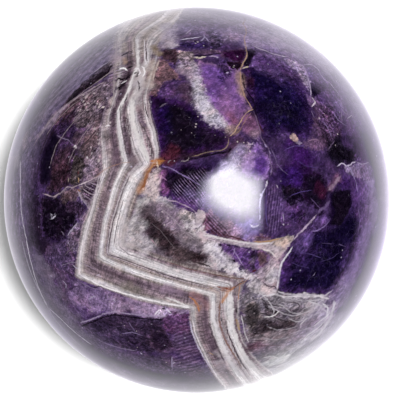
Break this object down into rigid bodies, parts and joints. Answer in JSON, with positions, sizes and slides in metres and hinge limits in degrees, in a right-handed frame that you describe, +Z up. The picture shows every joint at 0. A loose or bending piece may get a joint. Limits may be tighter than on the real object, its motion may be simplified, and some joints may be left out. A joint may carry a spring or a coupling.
{
  "type": "chevron amethyst sphere",
  "caption": "Polished ball of chevron amethyst: violet quartz crossed by zigzag bands of milky quartz, standing on a small flat.",
  "frame": {"origin": "middle of the small flat that the ball rests on, which is the bottom centre of its box", "axes": "+Z up through the ball's centre; +Y is the top of the picture and +X its right side, seen from above"},
  "size_m": [0.06, 0.06, 0.0598],
  "materials": {
    "polished_amethyst": "gloss polished natural quartz, violet with milky chevron bands"
  },
  "bodies": {
    "root": {"amethyst_sphere": "polished_amethyst"}
  },
  "joints": []
}
